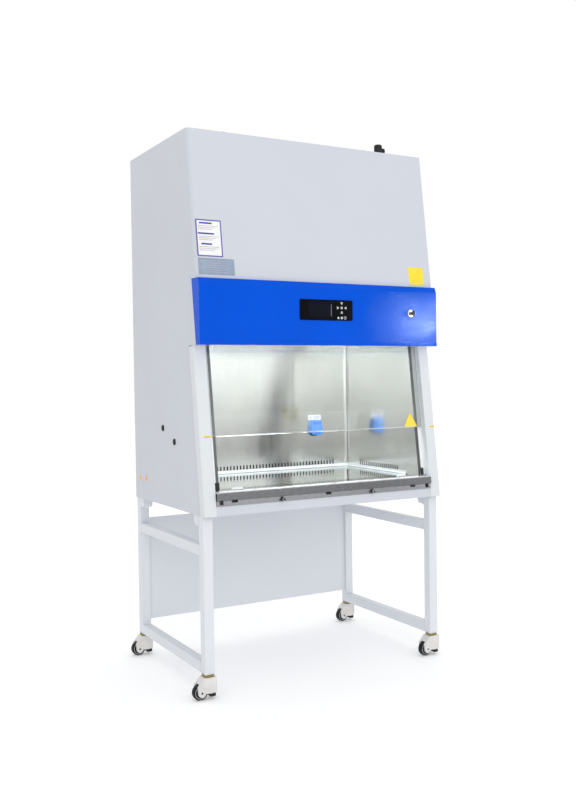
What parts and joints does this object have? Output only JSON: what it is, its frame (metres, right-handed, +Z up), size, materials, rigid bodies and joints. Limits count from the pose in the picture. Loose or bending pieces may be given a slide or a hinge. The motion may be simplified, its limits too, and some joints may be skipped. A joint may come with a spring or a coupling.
{
  "type": "biosafety cabinet",
  "caption": "Class II biosafety cabinet with a sliding glass sash, blue control fascia and stainless work chamber, standing on an open frame with levelling casters.",
  "frame": {"origin": "centre of the bounding box's footprint, on the floor under the caster wheels", "axes": "+Z up, -Y towards the operator, +X to the operator's right"},
  "size_m": [1.146, 0.7542, 2.194],
  "materials": {
    "casing_paint": "satin",
    "fascia_paint": "gloss",
    "stand_paint": "satin",
    "stainless": "brushed",
    "guide_aluminium": "satin",
    "plated_steel": "satin",
    "yellow_zinc": "satin",
    "ivory_plastic": "matte",
    "black_plastic": "matte",
    "black_rubber": "matte",
    "white_plastic": "gloss",
    "blue_plastic": "gloss",
    "lamp_glass": "gloss",
    "filter_media": "matte",
    "clear_glass": "clear",
    "screen_glass": "gloss",
    "chrome": "polished"
  },
  "bodies": {
    "cabinet": {"armrest": "stainless", "back_panel": "casing_paint", "base_pan": "casing_paint", "blower_housing": "plated_steel", "bracket_bolts": "plated_steel", "caster_races": "yellow_zinc", "clean_air_filters": "filter_media", "control_fascia": "fascia_paint", "diffuser_plate": "stainless", "display_bezel": "black_plastic", "display_screen": "screen_glass", "drive_belts": "black_rubber", "front_cover": "casing_paint", "key_switch_body": "chrome", "lamp_tubes": "lamp_glass", "left_front_post": "casing_paint", "left_side_panel": "casing_paint", "light_fitting": "white_plastic", "right_front_post": "casing_paint", "right_side_panel": "casing_paint", "sash_guides": "guide_aluminium", "service_plugs": "black_rubber", "socket_body": "white_plastic", "stand_back_sheet": "stand_paint", "stand_brackets": "stand_paint", "stand_left_frame": "stand_paint", "stand_right_frame": "stand_paint", "thumb_screws": "plated_steel", "top_panel": "casing_paint", "work_liner": "stainless"},
    "sash": {"sash_glass": "clear_glass", "sash_carrier": "guide_aluminium"},
    "drive": {"drive_shaft": "plated_steel"},
    "idlers": {"idler_pulleys": "white_plastic"},
    "key_up_body": {"key_up": "black_plastic"},
    "key_left_body": {"key_left": "black_plastic"},
    "key_centre_body": {"key_centre": "black_plastic"},
    "key_right_body": {"key_right": "black_plastic"},
    "key_down_body": {"key_down": "black_plastic"},
    "key_lamp_body": {"key_lamp": "black_plastic"},
    "key_fan_body": {"key_fan": "black_plastic"},
    "key_power_body": {"key_power": "black_plastic"},
    "barrel": {"key_barrel": "chrome"},
    "key": {"power_key": "plated_steel"},
    "socket_flap": {"socket_cover": "blue_plastic"},
    "tray": {"work_tray": "stainless"},
    "grille": {"front_grille": "stainless"},
    "impeller": {"blower_impeller": "plated_steel"},
    "fork_front_left": {"caster_fork_front_left": "ivory_plastic"},
    "wheel_front_left": {"caster_wheel_front_left": "black_plastic"},
    "pad_front_left": {"caster_pad_front_left": "black_rubber"},
    "fork_front_right": {"caster_fork_front_right": "ivory_plastic"},
    "wheel_front_right": {"caster_wheel_front_right": "black_plastic"},
    "pad_front_right": {"caster_pad_front_right": "black_rubber"},
    "fork_rear_left": {"caster_fork_rear_left": "ivory_plastic"},
    "wheel_rear_left": {"caster_wheel_rear_left": "black_plastic"},
    "pad_rear_left": {"caster_pad_rear_left": "black_rubber"},
    "fork_rear_right": {"caster_fork_rear_right": "ivory_plastic"},
    "wheel_rear_right": {"caster_wheel_rear_right": "black_plastic"},
    "pad_rear_right": {"caster_pad_rear_right": "black_rubber"}
  },
  "joints": [
    {"name": "sash_lift", "type": "slide", "parent": "cabinet", "child": "sash", "axis": [0, 0.1305, 0.9914], "range_m": [-0.2075, 0.215]},
    {"name": "drive_turn", "type": "hinge", "parent": "cabinet", "child": "drive", "pos_m": [0.018, -0.18836, 2.08455], "axis": [1, 0, 0], "range_deg": [-570, 590]},
    {"name": "idlers_turn", "type": "hinge", "parent": "cabinet", "child": "idlers", "pos_m": [0.018, -0.25101, 1.60865], "axis": [1, 0, 0], "range_deg": [-570, 590]},
    {"name": "key_up_press", "type": "slide", "parent": "cabinet", "child": "key_up_body", "axis": [0, 1, 0], "range_m": [0, 0.0006], "stiffness_N_per_m": 400},
    {"name": "key_left_press", "type": "slide", "parent": "cabinet", "child": "key_left_body", "axis": [0, 1, 0], "range_m": [0, 0.0006], "stiffness_N_per_m": 400},
    {"name": "key_centre_press", "type": "slide", "parent": "cabinet", "child": "key_centre_body", "axis": [0, 1, 0], "range_m": [0, 0.0006], "stiffness_N_per_m": 400},
    {"name": "key_right_press", "type": "slide", "parent": "cabinet", "child": "key_right_body", "axis": [0, 1, 0], "range_m": [0, 0.0006], "stiffness_N_per_m": 400},
    {"name": "key_down_press", "type": "slide", "parent": "cabinet", "child": "key_down_body", "axis": [0, 1, 0], "range_m": [0, 0.0006], "stiffness_N_per_m": 400},
    {"name": "key_lamp_press", "type": "slide", "parent": "cabinet", "child": "key_lamp_body", "axis": [0, 1, 0], "range_m": [0, 0.0006], "stiffness_N_per_m": 400},
    {"name": "key_fan_press", "type": "slide", "parent": "cabinet", "child": "key_fan_body", "axis": [0, 1, 0], "range_m": [0, 0.0006], "stiffness_N_per_m": 400},
    {"name": "key_power_press", "type": "slide", "parent": "cabinet", "child": "key_power_body", "axis": [0, 1, 0], "range_m": [0, 0.0006], "stiffness_N_per_m": 400},
    {"name": "barrel_turn", "type": "hinge", "parent": "cabinet", "child": "barrel", "pos_m": [0.4275, -0.34785, 1.466], "axis": [0, 1, 0], "range_deg": [0, 90]},
    {"name": "key_draw", "type": "slide", "parent": "barrel", "child": "key", "axis": [0, -1, 0], "range_m": [0, 0.02]},
    {"name": "socket_flap_swing", "type": "hinge", "parent": "cabinet", "child": "socket_flap", "pos_m": [0.313, 0.23515, 0.993], "axis": [-1, 0, 0], "range_deg": [0, 100]},
    {"name": "tray_lift", "type": "slide", "parent": "cabinet", "child": "tray", "axis": [0, 0, 1], "range_m": [0, 0.12]},
    {"name": "grille_lift", "type": "slide", "parent": "cabinet", "child": "grille", "axis": [0, 0, 1], "range_m": [0, 0.1]},
    {"name": "impeller_spin", "type": "hinge", "parent": "cabinet", "child": "impeller", "pos_m": [0.018, 0.03715, 1.6], "axis": [0, 0, 1], "continuous": true},
    {"name": "swivel_front_left", "type": "hinge", "parent": "cabinet", "child": "fork_front_left", "pos_m": [-0.509, -0.31485, 0.088], "axis": [0, 0, 1], "continuous": true},
    {"name": "roll_front_left", "type": "hinge", "parent": "fork_front_left", "child": "wheel_front_left", "pos_m": [-0.543, -0.31485, 0.03], "axis": [0, 1, 0], "continuous": true},
    {"name": "pad_lower_front_left", "type": "slide", "parent": "fork_front_left", "child": "pad_front_left", "axis": [0, 0, -1], "range_m": [0, 0.0115]},
    {"name": "swivel_front_right", "type": "hinge", "parent": "cabinet", "child": "fork_front_right", "pos_m": [0.545, -0.31485, 0.088], "axis": [0, 0, 1], "continuous": true},
    {"name": "roll_front_right", "type": "hinge", "parent": "fork_front_right", "child": "wheel_front_right", "pos_m": [0.511, -0.31485, 0.03], "axis": [0, 1, 0], "continuous": true},
    {"name": "pad_lower_front_right", "type": "slide", "parent": "fork_front_right", "child": "pad_front_right", "axis": [0, 0, -1], "range_m": [0, 0.0115]},
    {"name": "swivel_rear_left", "type": "hinge", "parent": "cabinet", "child": "fork_rear_left", "pos_m": [-0.509, 0.35315, 0.088], "axis": [0, 0, 1], "continuous": true},
    {"name": "roll_rear_left", "type": "hinge", "parent": "fork_rear_left", "child": "wheel_rear_left", "pos_m": [-0.543, 0.35315, 0.03], "axis": [0, 1, 0], "continuous": true},
    {"name": "pad_lower_rear_left", "type": "slide", "parent": "fork_rear_left", "child": "pad_rear_left", "axis": [0, 0, -1], "range_m": [0, 0.0115]},
    {"name": "swivel_rear_right", "type": "hinge", "parent": "cabinet", "child": "fork_rear_right", "pos_m": [0.545, 0.35315, 0.088], "axis": [0, 0, 1], "continuous": true},
    {"name": "roll_rear_right", "type": "hinge", "parent": "fork_rear_right", "child": "wheel_rear_right", "pos_m": [0.511, 0.35315, 0.03], "axis": [0, 1, 0], "continuous": true},
    {"name": "pad_lower_rear_right", "type": "slide", "parent": "fork_rear_right", "child": "pad_rear_right", "axis": [0, 0, -1], "range_m": [0, 0.0115]}
  ],
  "couplings": [
    {"joint": "drive_turn", "follows": "sash_lift", "rad_per_m": 47.619},
    {"joint": "idlers_turn", "follows": "sash_lift", "rad_per_m": 47.619}
  ]
}
